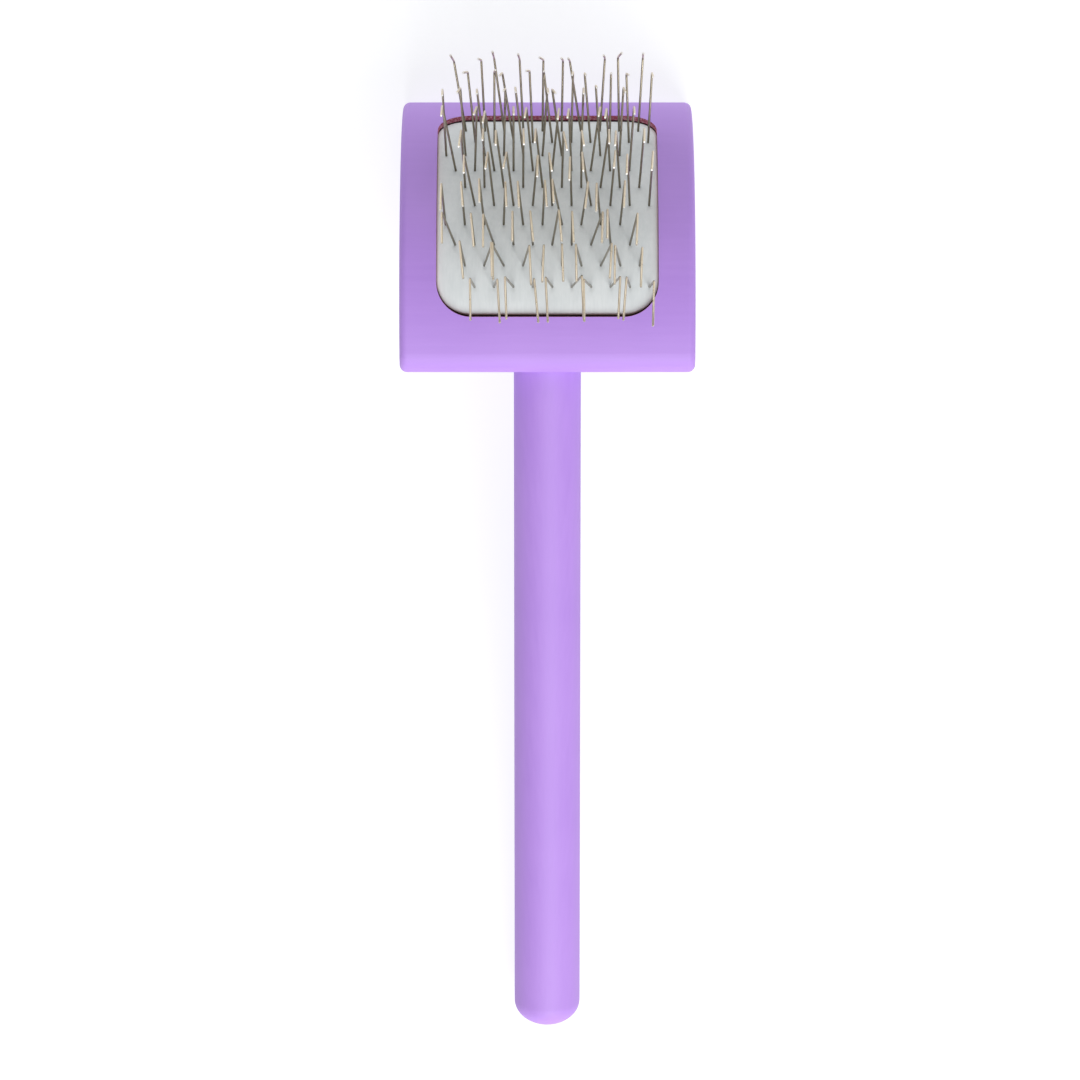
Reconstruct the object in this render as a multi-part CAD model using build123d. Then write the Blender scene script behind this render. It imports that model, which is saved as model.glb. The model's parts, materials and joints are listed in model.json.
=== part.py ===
from build123d import *
import math
import os

# Slicker brush: a curved wooden head, a round handle and a card-cloth pad set
# with kneed wire staples.  Sizes are millimetres.
#
# The brush is drawn on a bench frame first: the handle lies level along -Y, and
# the centre of the head's curve is the bench origin.  An angle PHI round the
# head is 0 straight up and grows towards +Y.  place() then lays the finished
# brush on its back, with its far edge and the end of its handle on the ground.

# Head
HEAD_WIDTH = 72.0
FACE_RADIUS = 50.7          # outer, convex face
HEAD_THICKNESS = 25.0
NEAR_END = 6.0              # square-cut end, this far on the handle side of the centre
FAR_END_PHI = 103.8         # far end face, cut along a radius
NEAR_EDGE_ROUND = 6.0
FAR_EDGE_ROUND = 5.0
BACK_EDGE_ROUND = 2.4
SIDE_EDGE_ROUND = 1.8

# Recess for the pad
WINDOW_WIDTH = 54.0
WINDOW_MID_PHI = 45.4
WINDOW_HALF_PHI = 35.2
WINDOW_CORNER = 8.5
PAD_CLEARANCE = 0.4         # gap round the pad, against the recess wall

# Pad, from its face inwards
PAD_RADIUS = 49.6           # top of the rubber face
RUBBER_FACE = 1.2
CLOTH_PLY = 0.8
CLOTH_PLIES = 2
CROWN_GAP = 0.8             # room for the staple crowns under the cloth
FOAM = 3.0
GLUE_LINE = 0.05

# Handle
HANDLE_DIAMETER = 16.5
HANDLE_LENGTH = 173.0       # from the head's end face to the tip of the dome
DOME_DEPTH = 6.3
AXIS_DROP = 14.5            # handle axis below the top of the head's face
TENON_DIAMETER = 11.0
TENON_LENGTH = 12.0
SOCKET_DIAMETER = 11.1
SOCKET_SPARE = 0.5

# Wire staples
WIRE_DIAMETER = 0.55
ROWS = 10
STAPLES_PER_ROW = 5
TWILL = 4                   # the rows' sideways steps repeat after this many
ROW_MID_PHI = 45.9
ROW_STEP_PHI = 6.08
LEG_PITCH = 4.72
FIRST_LEG = 19.9            # pad face to knee
SECOND_LEG = 12.6           # knee to point
KNEE_ANGLE = 60.0
MOST_LEAN = 8.0             # backward lean of the middle rows
SPLAY = 3.5                 # each leg of a staple leans this far out from the other
CROWN_DEPTH = 3.2           # crown centre line below the pad face
KNEE_ROUND = 1.3
CROWN_ROUND = 0.6
FACE_HOLE = 0.85            # wire holes in the rubber
PLY_HOLE = 1.2              # wider in the cloth, where the wires swing

AXIS_HEIGHT = FACE_RADIUS - AXIS_DROP
PAD_DEPTH = RUBBER_FACE + CLOTH_PLY * CLOTH_PLIES
FOAM_TOP = PAD_RADIUS - PAD_DEPTH - CROWN_GAP
RECESS_RADIUS = FOAM_TOP - FOAM - GLUE_LINE
FIRST_ROW_PHI = ROW_MID_PHI - ROW_STEP_PHI * (ROWS - 1) / 2


def on_circle(radius, phi):
    """Bench point (Y, Z) at an angle round the head's curve."""
    angle = math.radians(phi)
    return (radius * math.sin(angle), radius * math.cos(angle))


def rest_tilt():
    """Tilt at which the head's far edge and the handle's dome both touch the ground."""
    edge_radius = FACE_RADIUS - FAR_EDGE_ROUND
    edge_phi = FAR_END_PHI - math.degrees(math.asin(FAR_EDGE_ROUND / edge_radius))
    edge_y, edge_z = on_circle(edge_radius, edge_phi)
    dome_y = DOME_DEPTH - NEAR_END - HANDLE_LENGTH
    tilt = 0
    for _ in range(20):
        dome_drop = math.hypot(DOME_DEPTH * math.sin(tilt), HANDLE_DIAMETER / 2 * math.cos(tilt))
        rise = (AXIS_HEIGHT - edge_z) * math.cos(tilt) - dome_drop + FAR_EDGE_ROUND
        tilt = math.asin(rise / (edge_y - dome_y))
    return math.degrees(tilt)


def curved_slab(inner, outer, half_width, phi_from, phi_to, corner):
    """A slab bent round the head's centre, with rounded corners."""
    middle = (phi_from + phi_to) / 2
    with BuildPart() as slab:
        with BuildSketch(Plane.YZ):
            with BuildLine():
                ThreePointArc(on_circle(outer, phi_from), on_circle(outer, middle), on_circle(outer, phi_to))
                Line(on_circle(outer, phi_to), on_circle(inner, phi_to))
                ThreePointArc(on_circle(inner, phi_to), on_circle(inner, middle), on_circle(inner, phi_from))
                Line(on_circle(inner, phi_from), on_circle(outer, phi_from))
            make_face()
        extrude(amount=half_width, both=True)
        fillet(slab.edges().filter_by(GeomType.LINE).filter_by(Axis.X, reverse=True), corner)
    return slab.part


def pad_layer(inner, outer):
    """One layer of the pad, cut to the recess less its clearance."""
    gap_phi = math.degrees(PAD_CLEARANCE / outer)
    half_width = WINDOW_WIDTH / 2 - PAD_CLEARANCE
    phi_from = WINDOW_MID_PHI - WINDOW_HALF_PHI + gap_phi
    phi_to = WINDOW_MID_PHI + WINDOW_HALF_PHI - gap_phi
    return curved_slab(inner, outer, half_width, phi_from, phi_to, WINDOW_CORNER - PAD_CLEARANCE)


def head_block():
    """Curved wooden block with the pad's recess and the handle's socket."""
    inner_radius = FACE_RADIUS - HEAD_THICKNESS
    near_phi_out = -math.degrees(math.asin(NEAR_END / FACE_RADIUS))
    near_phi_in = -math.degrees(math.asin(NEAR_END / inner_radius))
    mid_phi = FAR_END_PHI / 2
    outer_near = on_circle(FACE_RADIUS, near_phi_out)
    outer_far = on_circle(FACE_RADIUS, FAR_END_PHI)
    inner_near = on_circle(inner_radius, near_phi_in)
    inner_far = on_circle(inner_radius, FAR_END_PHI)
    with BuildPart() as head:
        with BuildSketch(Plane.YZ):
            with BuildLine():
                ThreePointArc(outer_near, on_circle(FACE_RADIUS, mid_phi), outer_far)
                Line(outer_far, inner_far)
                ThreePointArc(inner_far, on_circle(inner_radius, mid_phi), inner_near)
                Line(inner_near, outer_near)
            make_face()
        extrude(amount=HEAD_WIDTH / 2, both=True)
        corner_rounds = (
            (outer_near, NEAR_EDGE_ROUND),
            (outer_far, FAR_EDGE_ROUND),
            (inner_near, BACK_EDGE_ROUND),
            (inner_far, BACK_EDGE_ROUND),
        )
        for corner_point, radius in corner_rounds:
            long_edges = head.edges().filter_by(Axis.X)
            fillet(long_edges.sort_by_distance((0, *corner_point))[0], radius)
        side_faces = head.faces().filter_by(Axis.X)
        fillet(side_faces.edges(), SIDE_EDGE_ROUND)
    recess = curved_slab(
        RECESS_RADIUS,
        FACE_RADIUS + HEAD_THICKNESS,
        WINDOW_WIDTH / 2,
        WINDOW_MID_PHI - WINDOW_HALF_PHI,
        WINDOW_MID_PHI + WINDOW_HALF_PHI,
        WINDOW_CORNER,
    )
    socket_depth = TENON_LENGTH + SOCKET_SPARE
    socket = Cylinder(SOCKET_DIAMETER / 2, socket_depth, rotation=(90, 0, 0))
    socket = Pos(0, socket_depth / 2 - NEAR_END, AXIS_HEIGHT) * socket
    return head.part - recess - socket


def handle():
    """Turned dowel: tenon, straight grip and a flattened dome at the end."""
    grip_radius = HANDLE_DIAMETER / 2
    tenon_radius = TENON_DIAMETER / 2
    dome_start = HANDLE_LENGTH - DOME_DEPTH
    edge_break = 0.4
    with BuildPart() as dowel:
        with BuildSketch(Plane.XY):
            with BuildLine():
                Polyline(
                    (0, TENON_LENGTH),
                    (tenon_radius - edge_break, TENON_LENGTH),
                    (tenon_radius, TENON_LENGTH - edge_break),
                    (tenon_radius, 0),
                    (grip_radius, 0),
                    (grip_radius, -dome_start),
                )
                EllipticalCenterArc((0, -dome_start), grip_radius, DOME_DEPTH, start_angle=270, arc_size=90)
                Line((0, -HANDLE_LENGTH), (0, TENON_LENGTH))
            make_face()
        revolve(axis=Axis.Y)
    return Pos(0, -NEAR_END, AXIS_HEIGHT) * dowel.part


def row_frame(row):
    """Bench plane of a row: origin on the pad face, Y back along the curve, Z outwards."""
    phi = FIRST_ROW_PHI + ROW_STEP_PHI * row
    origin_y, origin_z = on_circle(PAD_RADIUS, phi)
    out_y, out_z = on_circle(1, phi)
    return Plane(origin=(0, origin_y, origin_z), x_dir=(1, 0, 0), z_dir=(0, out_y, out_z))


def leg_places(row):
    """X of the two legs of each staple; rows step half a pitch across, in a twill of four."""
    stagger = LEG_PITCH * (3 / 4 - row % TWILL / 2)
    first = stagger - LEG_PITCH * (2 * STAPLES_PER_ROW - 1) / 2
    places = []
    for staple in range(STAPLES_PER_ROW):
        left = first + 2 * LEG_PITCH * staple
        places.append((left, left + LEG_PITCH))
    return places


def leg_direction(row, side):
    """Unit vector of a first leg in the row's own plane; side is -1 for left, +1 for right."""
    lean = math.radians(MOST_LEAN * math.sin(math.pi * (row + 0.5) / ROWS))
    splay = math.radians(SPLAY) * side
    return Vector(math.tan(splay), math.tan(lean), 1).normalized()


def staple(row, left, right):
    """One U-shaped wire: crown under the cloth, two legs, each with a knee."""
    lean = MOST_LEAN * math.sin(math.pi * (row + 0.5) / ROWS)
    hook = math.radians(lean - KNEE_ANGLE)
    hook_vector = Vector(0, math.sin(hook), math.cos(hook)) * SECOND_LEG
    sides = []
    for base_x, side in ((left, -1), (right, 1)):
        base = Vector(base_x, 0, 0)
        along = leg_direction(row, side)
        knee = base + along * FIRST_LEG
        crown_end = base - along * (CROWN_DEPTH / along.Z)
        sides.append((knee + hook_vector, knee, crown_end))
    points = [*sides[0], *reversed(sides[1])]
    rounds = [KNEE_ROUND, CROWN_ROUND, CROWN_ROUND, KNEE_ROUND]
    path = FilletPolyline(*points, radius=rounds)
    start = Plane(origin=path @ 0, z_dir=path % 0)
    return sweep(start * Circle(WIRE_DIAMETER / 2), path=path)


def staple_row(row):
    """All the staples of one row, side by side."""
    frame = row_frame(row)
    wires = [staple(row, left, right) for left, right in leg_places(row)]
    return Compound(children=[frame.location * wire for wire in wires])


def wire_holes(diameter):
    """A punch for every leg, long enough to pass the rubber and the cloth."""
    reach = 2.0
    length = PAD_DEPTH + 2 * reach
    punches = []
    for row in range(ROWS):
        frame = row_frame(row)
        for left, right in leg_places(row):
            for base_x, side in ((left, -1), (right, 1)):
                along = leg_direction(row, side)
                middle = Vector(base_x, 0, 0) - along * (PAD_DEPTH / 2)
                punch = Plane(origin=middle, z_dir=along).location * Cylinder(diameter / 2, length)
                punches.append(frame.location * punch)
    return punches


def place(shape):
    """Lay a bench-frame shape on the ground, centred over the origin."""
    return Pos(0, SHIFT_Y, SHIFT_Z) * Rot(REST_TILT, 0, 0) * shape


def save(shape, name):
    placed = place(shape)
    placed.label = name
    export_step(placed, f"parts/{name}.step")


os.makedirs("parts", exist_ok=True)

REST_TILT = rest_tilt()
head = head_block()
grip = handle()
rows = [staple_row(row) for row in range(ROWS)]

boxes = [(Rot(REST_TILT, 0, 0) * shape).bounding_box() for shape in (head, grip, *rows)]
SHIFT_Y = -(min(box.min.Y for box in boxes) + max(box.max.Y for box in boxes)) / 2
SHIFT_Z = -min(box.min.Z for box in boxes)

save(head, "head_block")
save(grip, "handle")
save(pad_layer(FOAM_TOP - FOAM, FOAM_TOP), "foam_cushion")
save(pad_layer(PAD_RADIUS - RUBBER_FACE, PAD_RADIUS) - wire_holes(FACE_HOLE), "rubber_face")
for ply in range(CLOTH_PLIES):
    ply_top = PAD_RADIUS - RUBBER_FACE - CLOTH_PLY * ply
    save(pad_layer(ply_top - CLOTH_PLY, ply_top) - wire_holes(PLY_HOLE), f"cloth_ply_{ply + 1}")
for row in range(ROWS):
    save(rows[row], f"staple_row_{row + 1:02d}")

print(f"moved by Y {SHIFT_Y:.3f}, Z {SHIFT_Z:.3f} after a tilt of {REST_TILT:.3f} degrees")
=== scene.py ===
import json
import math
import random

import bmesh
import bpy
from mathutils import Matrix, Vector

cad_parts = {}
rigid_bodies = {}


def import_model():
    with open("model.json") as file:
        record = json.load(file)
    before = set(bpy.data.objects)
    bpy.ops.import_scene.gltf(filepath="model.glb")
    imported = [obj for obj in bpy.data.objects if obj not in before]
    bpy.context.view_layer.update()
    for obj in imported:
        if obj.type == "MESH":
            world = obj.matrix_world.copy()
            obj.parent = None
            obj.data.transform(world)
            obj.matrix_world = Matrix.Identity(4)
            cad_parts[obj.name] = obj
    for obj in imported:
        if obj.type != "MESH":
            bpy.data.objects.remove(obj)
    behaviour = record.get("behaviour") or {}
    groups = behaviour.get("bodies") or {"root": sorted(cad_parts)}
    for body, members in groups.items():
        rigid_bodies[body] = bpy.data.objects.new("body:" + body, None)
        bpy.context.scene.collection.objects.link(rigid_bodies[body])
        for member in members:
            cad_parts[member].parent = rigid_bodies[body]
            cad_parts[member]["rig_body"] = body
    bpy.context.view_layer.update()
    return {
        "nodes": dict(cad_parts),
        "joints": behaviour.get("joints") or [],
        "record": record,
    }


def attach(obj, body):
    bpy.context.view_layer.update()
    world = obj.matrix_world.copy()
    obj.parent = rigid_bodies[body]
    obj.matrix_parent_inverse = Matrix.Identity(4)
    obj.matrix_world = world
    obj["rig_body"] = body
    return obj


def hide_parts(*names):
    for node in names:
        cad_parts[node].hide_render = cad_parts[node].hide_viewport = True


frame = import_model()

# ---------------------------------------------------------------- studio
# The brush lies on its back on a white table, pins up.  The camera hangs almost
# straight above it, square to the face where the handle joins the head.

MM = 0.001

# The rows of staples turn on lines that lie on one arc, so three of those lines
# give the centre of the head's curve.
hinges = [Vector(joint["pos_m"]) for joint in frame["joints"]]


def centre_of_arc(one, two, three):
    """Centre of the circle through three points of the plane x = 0."""
    chord_a, chord_b = two - one, three - one
    square_a, square_b = chord_a.length_squared, chord_b.length_squared
    turn = 2 * (chord_a.y * chord_b.z - chord_a.z * chord_b.y)
    across = (chord_b.z * square_a - chord_a.z * square_b) / turn
    up = (chord_a.y * square_b - chord_b.y * square_a) / turn
    return one + Vector((0, across, up))


curve_centre = centre_of_arc(hinges[0], hinges[len(hinges) // 2], hinges[-1])
handle_line = Vector(frame["record"]["mounts"][0]["axis"])
handle_tilt = math.atan2(-handle_line.z, -handle_line.y)


def round_the_head(angle):
    """Outward direction at an angle round the head's curve, 0 square to the handle."""
    turned = angle - handle_tilt
    return Vector((0, math.sin(turned), math.cos(turned)))


VIEW_ANGLE = math.radians(16.2)
VIEW_DISTANCE = 1.335
SEEN_WIDTH = 262.224 * MM
SENSOR_WIDTH = 36
AIM_BELOW_CENTRE = 59.4 * MM
AIM_OUT_OF_CENTRE = 48.8 * MM
AIM_ASIDE = -1.8 * MM

towards_camera = round_the_head(VIEW_ANGLE)
picture_up = Vector((0, towards_camera.z, -towards_camera.y))
aim = curve_centre + towards_camera * AIM_OUT_OF_CENTRE - picture_up * AIM_BELOW_CENTRE
aim.x = AIM_ASIDE

camera_data = bpy.data.cameras.new("camera")
camera_data.sensor_width = SENSOR_WIDTH
camera_data.lens = SENSOR_WIDTH * VIEW_DISTANCE / SEEN_WIDTH
camera_data.clip_start = 0.05
camera_data.clip_end = 20
camera = bpy.data.objects.new("camera", camera_data)
bpy.context.scene.collection.objects.link(camera)
camera.location = aim + towards_camera * VIEW_DISTANCE
picture_right = picture_up.cross(towards_camera)
camera.rotation_euler = Matrix((picture_right, picture_up, towards_camera)).transposed().to_euler()
bpy.context.scene.camera = camera
bpy.context.scene.view_settings.view_transform = "Standard"


def softbox(name, angle, sideways, distance, size, power):
    """A square area light, placed by its angle round the head and its lean to the right."""
    data = bpy.data.lights.new(name, "AREA")
    data.shape = "SQUARE"
    data.size = size
    data.energy = power
    light = bpy.data.objects.new(name, data)
    bpy.context.scene.collection.objects.link(light)
    direction = round_the_head(math.radians(angle)) * math.cos(math.radians(sideways))
    direction.x = math.sin(math.radians(sideways))
    light.location = curve_centre + direction * distance
    light.rotation_euler = direction.to_track_quat("Z", "Y").to_euler()


softbox("key light", angle=-36, sideways=10, distance=2.6, size=2.0, power=69)
softbox("back light", angle=74, sideways=0, distance=1.2, size=0.8, power=4)

world = bpy.data.worlds.new("studio")
bpy.context.scene.world = world
world.use_nodes = True
surround = world.node_tree.nodes["Background"]
surround.inputs["Color"].default_value = (0.96, 0.97, 1.0, 1)
surround.inputs["Strength"].default_value = 0.30

TABLE_HALF_WIDTH = 3.0

table = bmesh.new()
bmesh.ops.create_grid(table, x_segments=8, y_segments=8, size=TABLE_HALF_WIDTH)
table_mesh = bpy.data.meshes.new("table top")
table.to_mesh(table_mesh)
table.free()
table_top = bpy.data.objects.new("table top", table_mesh)
bpy.context.scene.collection.objects.link(table_top)


class Finish:
    """A material under construction: short names for the few nodes the finishes use."""

    def __init__(self, name):
        self.material = bpy.data.materials.new(name)
        self.material.use_nodes = True
        self.nodes = self.material.node_tree.nodes
        self.links = self.material.node_tree.links
        self.shader = self.nodes["Principled BSDF"]
        self.place = self.nodes.new("ShaderNodeTexCoord").outputs["Object"]

    def feed(self, socket, value):
        if hasattr(value, "is_output"):
            self.links.new(value, socket)
        else:
            socket.default_value = value

    def set(self, name, value):
        self.feed(self.shader.inputs[name], value)

    def maths(self, job, first, second=0.0, third=0.0):
        node = self.nodes.new("ShaderNodeMath")
        node.operation = job
        for socket, value in zip(node.inputs, (first, second, third)):
            self.feed(socket, value)
        return node.outputs[0]

    def blend(self, first, first_part, second, second_part):
        """Two values added in the parts given."""
        first = self.maths("MULTIPLY", first, first_part)
        second = self.maths("MULTIPLY", second, second_part)
        return self.maths("ADD", first, second)

    def parts_of(self, vector):
        node = self.nodes.new("ShaderNodeSeparateXYZ")
        self.feed(node.inputs[0], vector)
        return node.outputs[0], node.outputs[1], node.outputs[2]

    def round_the_curve(self):
        """Where a point lies across the head, from the curve's centre line, and its distance."""
        across, along, up = self.parts_of(self.place)
        from_y = self.maths("SUBTRACT", along, curve_centre.y)
        from_z = self.maths("SUBTRACT", up, curve_centre.z)
        squares = self.maths("ADD", self.maths("POWER", from_y, 2), self.maths("POWER", from_z, 2))
        return across, from_y, from_z, self.maths("SQRT", squares)

    def stretched(self, scale, turned=(0, 0, 0)):
        node = self.nodes.new("ShaderNodeMapping")
        node.vector_type = "POINT"
        node.inputs["Scale"].default_value = scale
        node.inputs["Rotation"].default_value = turned
        self.feed(node.inputs["Vector"], self.place)
        return node.outputs[0]

    def noise(self, where, scale, detail=3.0, roughness=0.55):
        node = self.nodes.new("ShaderNodeTexNoise")
        self.feed(node.inputs["Vector"], where)
        node.inputs["Scale"].default_value = scale
        node.inputs["Detail"].default_value = detail
        node.inputs["Roughness"].default_value = roughness
        return node.outputs["Fac"]

    def spread(self, value, low, high, to_low=0.0, to_high=1.0):
        node = self.nodes.new("ShaderNodeMapRange")
        for name, number in (
            ("Value", value),
            ("From Min", low),
            ("From Max", high),
            ("To Min", to_low),
            ("To Max", to_high),
        ):
            self.feed(node.inputs[name], number)
        return node.outputs[0]

    def mix(self, amount, one, two):
        node = self.nodes.new("ShaderNodeMix")
        node.data_type = "RGBA"
        self.feed(node.inputs[0], amount)
        self.feed(node.inputs[6], one)
        self.feed(node.inputs[7], two)
        return node.outputs[2]

    def bump(self, height, depth, strength=1.0, under=None):
        node = self.nodes.new("ShaderNodeBump")
        node.inputs["Strength"].default_value = strength
        node.inputs["Distance"].default_value = depth
        self.feed(node.inputs["Height"], height)
        if under is not None:
            self.feed(node.inputs["Normal"], under)
        return node.outputs[0]


def white_table():
    """A translucent white top lit from below, so that shadows on it stay faint."""
    finish = Finish("white table")
    cloudy = finish.noise(finish.place, 6)
    finish.set("Base Color", finish.mix(cloudy, (0.34, 0.34, 0.34, 1), (0.36, 0.36, 0.36, 1)))
    finish.set("Emission Color", (0.97, 0.98, 1.0, 1))
    finish.set("Emission Strength", 0.77)
    finish.set("Roughness", 0.9)
    finish.set("Specular IOR Level", 0.1)
    return finish.material


table_mesh.materials.append(white_table())


def finish_node(node, material):
    """Give a CAD node its finish in place of the plain one."""
    mesh = frame["nodes"][node].data
    mesh.materials.clear()
    mesh.materials.append(material)


# ---------------------------------------------------------------- head block
# One block of beech, sawn to a curve, sanded and sprayed with satin lavender
# paint.  The recess was routed first, so its wall is raw, stained and rough.

HEAD_FACE_RADIUS = 50.7 * MM
PAD_RADIUS = 49.6 * MM
RECESS_HALF_WIDTH = 27.0 * MM
RECESS_FROM = math.radians(10.2)
RECESS_TO = math.radians(80.6)
RECESS_MARGIN = 0.3 * MM
END_MARGIN = math.radians(0.573)
PAINTED_LIP = 0.05 * MM
BELOW_RECESS = 30 * MM
GAP_SHADOW_DEPTH = 0.12 * MM

PAINT = (0.50, 0.281, 0.80, 1)
PAINT_THIN = (0.46, 0.252, 0.765, 1)
WALL_STAIN = (0.44, 0.085, 0.15, 1)
WALL_SPECK = (0.74, 0.36, 0.44, 1)
# Near-black colour of the painted shadow in the gap between the rubber and the recess wall.
GAP_SHADOW_BLACK = (0.012, 0.009, 0.010, 1)


def satin_paint(finish, grain_place):
    """Sprayed paint: faint grain telegraphing through, soft clouds and orange peel."""
    clouds = finish.noise(finish.place, 30, 2)
    grain = finish.noise(grain_place, 1.0, 4)
    shade = finish.blend(clouds, 0.6, grain, 0.4)
    colour = finish.mix(finish.spread(shade, 0.35, 0.65), PAINT_THIN, PAINT)
    peel = finish.noise(finish.place, 900, 2)
    relief = finish.bump(grain, 0.06 * MM, 0.5)
    relief = finish.bump(peel, 0.02 * MM, 0.35, relief)
    rough = finish.spread(grain, 0.3, 0.7, 0.56, 0.66)
    return colour, rough, relief


def painted_head():
    finish = Finish("lavender paint on the head")
    colour, rough, relief = satin_paint(finish, finish.stretched((60, 900, 900)))
    across, from_y, from_z, radius = finish.round_the_curve()
    off_middle = finish.maths("ABSOLUTE", across)
    angle = finish.maths("ADD", finish.maths("ARCTAN2", from_y, from_z), handle_tilt)
    inside = 1.0
    for value, side, limit in (
        (radius, "LESS_THAN", HEAD_FACE_RADIUS - PAINTED_LIP),
        (radius, "GREATER_THAN", BELOW_RECESS),
        (off_middle, "LESS_THAN", RECESS_HALF_WIDTH + RECESS_MARGIN),
        (angle, "GREATER_THAN", RECESS_FROM - END_MARGIN),
        (angle, "LESS_THAN", RECESS_TO + END_MARGIN),
    ):
        inside = finish.maths("MULTIPLY", finish.maths(side, value, limit), inside)
    saw_marks = finish.noise(finish.place, 1600, 4, 0.7)
    stain = finish.mix(finish.spread(saw_marks, 0.45, 0.62), WALL_STAIN, WALL_SPECK)
    # Painted shadow: a near-black line at the foot of the end walls, where the gap beside the rubber
    # lies in shade.
    painted_gap_shadow = finish.maths("LESS_THAN", radius, PAD_RADIUS - GAP_SHADOW_DEPTH)
    at_ends = finish.maths("LESS_THAN", off_middle, RECESS_HALF_WIDTH - RECESS_MARGIN)
    painted_gap_shadow = finish.maths("MULTIPLY", painted_gap_shadow, at_ends)
    stain = finish.mix(painted_gap_shadow, stain, GAP_SHADOW_BLACK)
    finish.set("Base Color", finish.mix(inside, colour, stain))
    finish.set("Roughness", finish.maths("ADD", rough, finish.maths("MULTIPLY", inside, 0.4)))
    torn = finish.maths("MULTIPLY", inside, saw_marks)
    finish.set("Normal", finish.bump(torn, 0.12 * MM, 1.0, relief))
    finish.set("Specular IOR Level", 0.7)
    return finish.material


finish_node("head_block", painted_head())


# ---------------------------------------------------------------- handle
# A beech dowel, turned to a flattened dome at the free end and glued into the
# head by a tenon.  It wears the same satin paint, sprayed along the dowel.


def painted_handle():
    finish = Finish("lavender paint on the handle")
    colour, rough, relief = satin_paint(finish, finish.stretched((900, 40, 900), (handle_tilt, 0, 0)))
    finish.set("Base Color", colour)
    finish.set("Roughness", rough)
    finish.set("Normal", relief)
    finish.set("Specular IOR Level", 0.7)
    return finish.material


finish_node("handle", painted_handle())


# ---------------------------------------------------------------- foam cushion
# A pad of closed-cell foam rubber glued to the floor of the recess.  The cloth
# floats on it, which lets the wires give.


def foam_rubber():
    finish = Finish("closed-cell foam rubber")
    cells = finish.nodes.new("ShaderNodeTexVoronoi")
    cells.inputs["Scale"].default_value = 2200
    finish.feed(cells.inputs["Vector"], finish.place)
    distance = cells.outputs["Distance"]
    open_cell = finish.spread(distance, 0.1, 0.7)
    finish.set("Base Color", finish.mix(open_cell, (0.05, 0.05, 0.055, 1), (0.11, 0.11, 0.12, 1)))
    finish.set("Roughness", 0.95)
    finish.set("Normal", finish.bump(distance, 0.2 * MM, 0.8))
    return finish.material


finish_node("foam_cushion", foam_rubber())


# ---------------------------------------------------------------- cloth plies
# Two plies of woven cotton, cemented together under the rubber.  The staples are
# set through them from behind, and the cloth holds each crown.

THREAD_SPACING = 0.55 * MM


def cotton_cloth():
    finish = Finish("cemented cotton cloth")
    thread = 2 * math.pi / THREAD_SPACING
    across, along, up = finish.parts_of(finish.place)
    warp = finish.maths("SINE", finish.maths("MULTIPLY", across, thread))
    weft = finish.maths("SINE", finish.maths("MULTIPLY", finish.maths("ADD", along, up), thread))
    weave = finish.maths("MULTIPLY", warp, weft)
    slubs = finish.noise(finish.place, 260)
    finish.set("Base Color", finish.mix(slubs, (0.42, 0.36, 0.26, 1), (0.60, 0.54, 0.42, 1)))
    finish.set("Roughness", 0.9)
    finish.set("Normal", finish.bump(weave, 0.08 * MM, 0.9))
    return finish.material


cloth = cotton_cloth()
for ply in ("cloth_ply_1", "cloth_ply_2"):
    finish_node(ply, cloth)


# ---------------------------------------------------------------- wire staples
# Each staple is one bright steel wire bent to a U and set through the cloth from
# behind.  Both legs lean back, then knee over so that the points face the handle.

WIRE_RADIUS = 0.275 * MM
STAPLES_PER_ROW = 5
LEG_PITCH = 4.72 * MM
FIRST_LEG = 19.9 * MM
SECOND_LEG = 12.6 * MM
KNEE_ANGLE = math.radians(60)
MOST_LEAN = math.radians(8.0)
SPLAY = math.radians(3.5)
KEPT_INSIDE = 1.5 * MM
LEAN_SCATTER = math.radians(1.1)
SIDE_SCATTER = math.radians(2.2)
KNEE_SCATTER = math.radians(1.3)
DRIFT_SCATTER = math.radians(1.6)
FIRST_LEG_SCATTER = 0.25 * MM
SECOND_LEG_SCATTER = 0.2 * MM
KNEE_CLOSED_BY = math.radians(0.4)
FANNED_OUT = math.radians(3.2)
SWEPT_LEFT = math.radians(2.0)
HOOK_SWEEP = (math.radians(0.9), math.radians(-1.4))    # in the nearest and the farthest row
HOOK_FAN = (math.radians(-3.0), math.radians(1.6))
# Painted light on the legs: its share just under the knee, and how fast it fades into painted shade
# towards the rubber.
LIT_SHARE_UNDER_KNEE = 0.45
LIT_SHARE_FADE = 0.6
END_DOME = 0.35
END_SHARE = 0.8
CROWN_DEPTH = 3.2 * MM
KNEE_ROUND = 1.3 * MM
CROWN_ROUND = 0.6 * MM
# Where the painted shade on the wire ends gives way to their painted highlight, beyond the curve's
# centre.
DIM_ENDS_UP_TO = 26 * MM
GLINT_FROM = 40 * MM
ROWS = len(hinges)
set_by_hand = random.Random(41)


def leg_places(row):
    """Where the two legs of each staple come through, in a twill of four rows."""
    stagger = LEG_PITCH * (3 / 4 - row % 4 / 2)
    first = stagger - LEG_PITCH * (2 * STAPLES_PER_ROW - 1) / 2
    lefts = [first + 2 * LEG_PITCH * staple for staple in range(STAPLES_PER_ROW)]
    return [(left, left + LEG_PITCH) for left in lefts]


def over_the_pad(angle, start_x, length):
    """A sideways angle, held back so that a leg of this length ends over the pad."""
    room = RECESS_HALF_WIDTH - KEPT_INSIDE
    return min(max(angle, -(room + start_x) / length), (room - start_x) / length)


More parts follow.
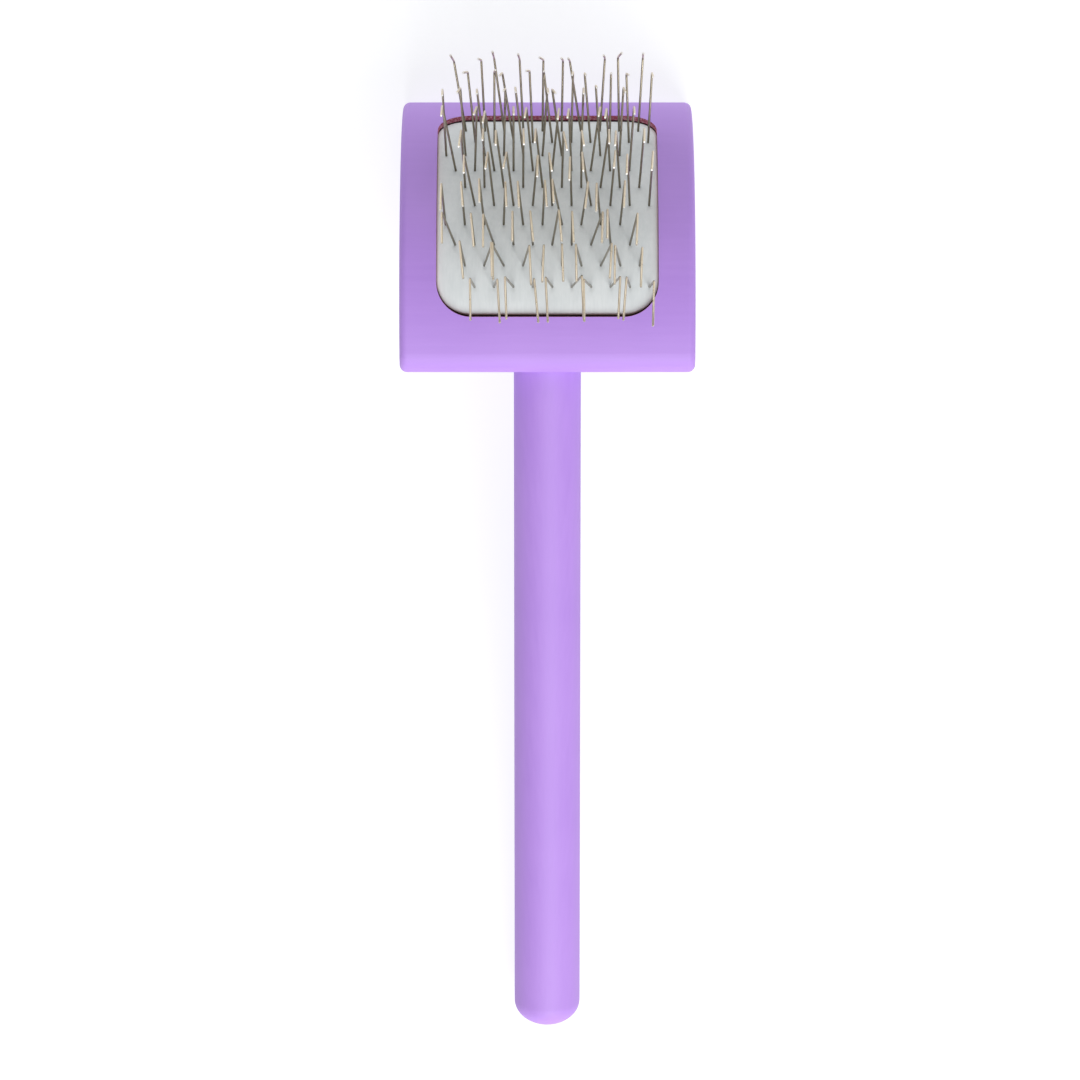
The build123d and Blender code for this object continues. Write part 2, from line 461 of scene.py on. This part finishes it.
def leg_line(row, base_x, hand):
    """Points of one leg, from the end of its crown to its tip.

    Inside the cloth the leg keeps the direction of its hole.  Above the rubber it is
    bent a little by use: each leg by its own amount, and the far rows to the left.
    """
    out = (hinges[row] - curve_centre).normalized()
    back = Vector((0, out.z, -out.y))
    height = row / (ROWS - 1)
    edge = base_x / (LEG_PITCH * STAPLES_PER_ROW)

    def direction(lean, side):
        return (out + back * math.tan(lean) + Vector((math.tan(side), 0, 0))).normalized()

    lean = MOST_LEAN * math.sin(math.pi * (row + 0.5) / ROWS)
    side = SPLAY * hand
    through = direction(lean, side)
    lean += set_by_hand.gauss(0, LEAN_SCATTER)
    side += set_by_hand.gauss(0, SIDE_SCATTER)
    side += height * (FANNED_OUT * edge - SWEPT_LEFT)
    side = over_the_pad(side, base_x, FIRST_LEG)
    base = curve_centre + out * PAD_RADIUS + Vector((base_x, 0, 0))
    crown_end = base - through * CROWN_DEPTH / through.dot(out)
    knee = base + direction(lean, side) * (FIRST_LEG + set_by_hand.gauss(0, FIRST_LEG_SCATTER))
    hook = lean - KNEE_ANGLE + set_by_hand.gauss(-KNEE_CLOSED_BY, KNEE_SCATTER)
    drift = set_by_hand.gauss(0, DRIFT_SCATTER)
    drift += HOOK_SWEEP[0] * (1 - height) + HOOK_SWEEP[1] * height
    drift += (HOOK_FAN[0] * (1 - height) + HOOK_FAN[1] * height) * edge
    drift = over_the_pad(drift, knee.x, SECOND_LEG)
    over = (out * math.cos(hook) + back * math.sin(hook) + Vector((math.tan(drift), 0, 0))).normalized()
    tip = knee + over * (SECOND_LEG + set_by_hand.gauss(0, SECOND_LEG_SCATTER))
    return [crown_end, base, knee, tip]


def rounded_line(points, rounds, steps=6):
    """The same line with each inner corner turned on an arc."""
    line = [points[0]]
    for before, corner, after, radius in zip(points, points[1:], points[2:], rounds):
        if not radius:
            line.append(corner)
            continue
        inward, outward = (before - corner).normalized(), (after - corner).normalized()
        half = inward.angle(outward) / 2
        start = corner + inward * radius / math.tan(half)
        end = corner + outward * radius / math.tan(half)
        centre = corner + (inward + outward).normalized() * radius / math.sin(half)
        first, last = start - centre, end - centre
        sweep = first.angle(last)
        for step in range(steps + 1):
            share = step / steps
            arm = first * math.sin((1 - share) * sweep) + last * math.sin(share * sweep)
            line.append(centre + arm / math.sin(sweep))
    line.append(points[-1])
    return line


def add_wire(mesh, line, radius, sides=10):
    """A round wire along a line, with snipped ends that are slightly domed.

    The vertex value written here is painted light: full on the hooks, which catch
    the light, and fading into painted shade down the legs towards the rubber.
    """
    cut = END_DOME * radius
    first_end = line[0] + (line[0] - line[1]).normalized() * cut
    last_end = line[-1] + (line[-1] - line[-2]).normalized() * cut
    stations = [(first_end, END_SHARE), *((point, 1.0) for point in line), (last_end, END_SHARE)]
    travelled = [0.0]
    for (one, _), (two, _) in zip(stations, stations[1:]):
        travelled.append(travelled[-1] + (two - one).length)
    painted_lit_share = mesh.verts.layers.float.get("painted_lit_share") or mesh.verts.layers.float.new("painted_lit_share")
    side_way = Vector((1, 0, 0))
    rings = []
    for number, (point, share) in enumerate(stations):
        from_tip = min(travelled[number], travelled[-1] - travelled[number])
        below_knee = (from_tip - SECOND_LEG) / FIRST_LEG
        brightness = 1.0 if below_knee < 0 else max(0.0, LIT_SHARE_UNDER_KNEE - LIT_SHARE_FADE * below_knee)
        before = stations[max(number - 1, 0)][0]
        after = stations[min(number + 1, len(stations) - 1)][0]
        forward = (after - before).normalized()
        side_way = (side_way - forward * side_way.dot(forward)).normalized()
        other_way = forward.cross(side_way)
        ring = []
        for spoke in range(sides):
            turn = 2 * math.pi * spoke / sides
            offset = side_way * math.cos(turn) + other_way * math.sin(turn)
            ring.append(mesh.verts.new(point + offset * radius * share))
            ring[-1][painted_lit_share] = brightness
        rings.append(ring)
    for one, two in zip(rings, rings[1:]):
        for spoke in range(sides):
            after = (spoke + 1) % sides
            mesh.faces.new((one[spoke], one[after], two[after], two[spoke])).smooth = True
    mesh.faces.new(list(reversed(rings[0]))).material_index = 1
    mesh.faces.new(rings[-1]).material_index = 1


def drawn_wire():
    finish = Finish("drawn steel wire")
    streaks = finish.noise(finish.place, 700, 3)
    # The dark and the bright colours are painted shade and painted reflection on the same steel, mixed
    # by the painted light share on the vertices.
    shaded_steel = finish.mix(streaks, (0.14, 0.125, 0.095, 1), (0.23, 0.205, 0.155, 1))
    bright = finish.mix(streaks, (0.58, 0.50, 0.365, 1), (0.80, 0.71, 0.56, 1))
    painted_lit_share = finish.nodes.new("ShaderNodeAttribute")
    painted_lit_share.attribute_name = "painted_lit_share"
    finish.set("Base Color", finish.mix(painted_lit_share.outputs["Fac"], shaded_steel, bright))
    finish.set("Metallic", 1.0)
    finish.set("Roughness", finish.spread(streaks, 0.3, 0.7, 0.26, 0.38))
    finish.set("Normal", finish.bump(streaks, 0.01 * MM, 0.4))
    return finish.material


def snipped_end():
    """Cut wire ends: a painted highlight in the far rows, and painted shade on them near the handle."""
    finish = Finish("bright snipped wire end")
    scars = finish.noise(finish.place, 9000, 2)
    # A near-white painted highlight on the far ends, a darker painted shade on the near ones.
    painted_glint = finish.mix(scars, (0.94, 0.92, 0.88, 1), (1.0, 0.99, 0.97, 1))
    painted_dim_end = finish.mix(scars, (0.36, 0.33, 0.27, 1), (0.44, 0.41, 0.35, 1))
    _, along, _ = finish.parts_of(finish.place)
    glint_share = finish.spread(along, curve_centre.y + DIM_ENDS_UP_TO, curve_centre.y + GLINT_FROM)
    finish.set("Base Color", finish.mix(glint_share, painted_dim_end, painted_glint))
    finish.set("Metallic", 0.35)
    finish.set("Roughness", finish.spread(scars, 0.3, 0.7, 0.40, 0.55))
    return finish.material


wire = drawn_wire()
snipped = snipped_end()
bases = []
for row in range(ROWS):
    mesh = bmesh.new()
    for left, right in leg_places(row):
        left_leg, right_leg = leg_line(row, left, -1), leg_line(row, right, 1)
        corners = [*reversed(left_leg), *right_leg]
        line = rounded_line(corners, [KNEE_ROUND, 0, CROWN_ROUND, CROWN_ROUND, 0, KNEE_ROUND])
        add_wire(mesh, line, WIRE_RADIUS)
        bases += [(row, left), (row, right)]
    bmesh.ops.recalc_face_normals(mesh, faces=mesh.faces)
    data = bpy.data.meshes.new(f"wires_row_{row + 1:02d}")
    mesh.to_mesh(data)
    mesh.free()
    data.materials.append(wire)
    data.materials.append(snipped)
    wires = bpy.data.objects.new(f"wires_row_{row + 1:02d}", data)
    bpy.context.scene.collection.objects.link(wires)
    node = f"staple_row_{row + 1:02d}"
    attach(wires, frame["nodes"][node]["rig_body"])
    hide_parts(node)


# ---------------------------------------------------------------- rubber face
# A sheet of light grey rubber on the cloth, domed by the cushion under it.  Its
# edge rolls down into the recess, and it puckers where each wire comes through.

SHEET_HALF_WIDTH = 26.95 * MM
SHEET_CORNER = 8.45 * MM
END_GAP = 0.32 * MM
SHEET_THICK = 1.2 * MM
SHEET_CELL = 0.55 * MM
EDGE_ROLL = 0.25 * MM
EDGE_DROOP = 0.25 * MM
DROOP_WIDTH = 3.5 * MM
SIDE_SLACK = 0.35
SIDE_CROWN = 0.06 * MM
PUCKER_DEPTH = 0.22 * MM
PUCKER_WIDTH = 0.55 * MM
PUCKER_REACH = 3 * PUCKER_WIDTH
# Depth below the arc over which the rolled edge of the sheet takes its painted shade.
EDGE_SHADE_FROM = 0.24 * MM
EDGE_SHADE_TO = 0.40 * MM

RUBBER_DARK = (0.715, 0.755, 0.76, 1)
RUBBER_LIGHT = (0.80, 0.835, 0.84, 1)
# Brownish colour of the painted shade that the recess wall casts on the sheet's edge.
EDGE_SHADE_TINT = (0.50, 0.45, 0.37, 1)
sheet_mid = (RECESS_FROM + RECESS_TO) / 2
sheet_half_length = PAD_RADIUS * (RECESS_TO - RECESS_FROM) / 2 - END_GAP


def into_corner(x, y):
    """Bend a square grid's corners round, so that the sheet's outline has its corner arcs."""
    inner_x, inner_y = SHEET_HALF_WIDTH - SHEET_CORNER, sheet_half_length - SHEET_CORNER
    over_x, over_y = (abs(x) - inner_x) / SHEET_CORNER, (abs(y) - inner_y) / SHEET_CORNER
    if over_x <= 0 or over_y <= 0:
        return x, y
    round_x = over_x * math.sqrt(1 - over_y * over_y / 2)
    round_y = over_y * math.sqrt(1 - over_x * over_x / 2)
    new_x = math.copysign(inner_x + round_x * SHEET_CORNER, x)
    new_y = math.copysign(inner_y + round_y * SHEET_CORNER, y)
    return new_x, new_y


def from_edge(x, y):
    """How far a point of the sheet is inside its outline."""
    over_x = abs(x) - (SHEET_HALF_WIDTH - SHEET_CORNER)
    over_y = abs(y) - (sheet_half_length - SHEET_CORNER)
    if over_x > 0 and over_y > 0:
        return SHEET_CORNER - math.hypot(over_x, over_y)
    return SHEET_CORNER - max(over_x, over_y)


holes = []
for row, base_x in bases:
    out = (hinges[row] - curve_centre).normalized()
    row_angle = math.atan2(out.y, out.z) + handle_tilt
    holes.append((base_x, PAD_RADIUS * (row_angle - sheet_mid)))


def sheet_height(x, y):
    """Height of the rubber above its nominal arc: crown, rolled edge and puckers.

    The edge hangs freely at the two ends and hardly at all along the sides.
    """
    height = -SIDE_CROWN * (abs(x) / SHEET_HALF_WIDTH) ** 4
    inset = max(from_edge(x, y), 0.0)
    at_end = min(1.0, max(0.0, (abs(y) - sheet_half_length) / SHEET_CORNER + 1))
    slack = SIDE_SLACK + (1 - SIDE_SLACK) * at_end
    if inset < DROOP_WIDTH:
        height -= slack * EDGE_DROOP * (1 - inset / DROOP_WIDTH) ** 2
    if inset < EDGE_ROLL:
        share = 1 - inset / EDGE_ROLL
        height -= slack * EDGE_ROLL * (1 - math.sqrt(max(0.0, 1 - share * share)))
    for hole_x, hole_y in holes:
        gap = math.hypot(x - hole_x, y - hole_y)
        if gap < PUCKER_REACH:
            height -= PUCKER_DEPTH * math.exp(-((gap / PUCKER_WIDTH) ** 2))
    return height


def on_sheet(x, y, height):
    out = round_the_head(sheet_mid + y / PAD_RADIUS)
    return curve_centre + out * (PAD_RADIUS + height) + Vector((x, 0, 0))


def rubber_sheet():
    mesh = bmesh.new()
    columns = round(2 * SHEET_HALF_WIDTH / SHEET_CELL)
    lines = round(2 * sheet_half_length / SHEET_CELL)
    top, under = [], []
    for line in range(lines + 1):
        top_line, under_line = [], []
        for column in range(columns + 1):
            x = SHEET_HALF_WIDTH * (2 * column / columns - 1)
            y = sheet_half_length * (2 * line / lines - 1)
            x, y = into_corner(x, y)
            top_line.append(mesh.verts.new(on_sheet(x, y, sheet_height(x, y))))
            under_line.append(mesh.verts.new(on_sheet(x, y, -SHEET_THICK)))
        top.append(top_line)
        under.append(under_line)
    for line in range(lines):
        for column in range(columns):
            for layer, order in ((top, 1), (under, -1)):
                near, far = layer[line], layer[line + 1]
                corners = [near[column], near[column + 1], far[column + 1], far[column]]
                mesh.faces.new(corners[::order]).smooth = True
    rim = [(line, 0) for line in range(lines, 0, -1)]
    rim += [(0, column) for column in range(columns)]
    rim += [(line, columns) for line in range(lines)]
    rim += [(lines, column) for column in range(columns, 0, -1)]
    for (line_a, column_a), (line_b, column_b) in zip(rim, rim[1:] + rim[:1]):
        upper = (top[line_b][column_b], top[line_a][column_a])
        lower = (under[line_a][column_a], under[line_b][column_b])
        mesh.faces.new(upper + lower)
    bmesh.ops.recalc_face_normals(mesh, faces=mesh.faces)
    data = bpy.data.meshes.new("rubber_sheet")
    mesh.to_mesh(data)
    mesh.free()
    return data


def grey_rubber():
    finish = Finish("light grey rubber")
    rolled_way = finish.stretched((1300, 220, 1300), (0, 0, math.radians(8)))
    streaks = finish.noise(rolled_way, 1.0, 4, 0.6)
    clouds = finish.noise(finish.place, 120, 3)
    shade = finish.blend(streaks, 0.5, clouds, 0.5)
    grey = finish.mix(finish.spread(shade, 0.35, 0.65), RUBBER_DARK, RUBBER_LIGHT)
    _, _, _, radius = finish.round_the_curve()
    # Painted shade: the sheet turns darker and browner where its edge rolls down under the recess wall.
    painted_edge_shade = finish.spread(radius, PAD_RADIUS - EDGE_SHADE_FROM, PAD_RADIUS - EDGE_SHADE_TO)
    finish.set("Base Color", finish.mix(painted_edge_shade, grey, EDGE_SHADE_TINT))
    finish.set("Roughness", finish.spread(streaks, 0.3, 0.7, 0.42, 0.56))
    relief = finish.bump(streaks, 0.05 * MM, 0.5)
    finish.set("Normal", finish.bump(finish.noise(finish.place, 1400, 2), 0.02 * MM, 0.5, relief))
    finish.set("Specular IOR Level", 0.4)
    return finish.material


rubber_data = rubber_sheet()
rubber_data.materials.append(grey_rubber())
rubber = bpy.data.objects.new("rubber_sheet", rubber_data)
bpy.context.scene.collection.objects.link(rubber)
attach(rubber, "brush")
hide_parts("rubber_face")
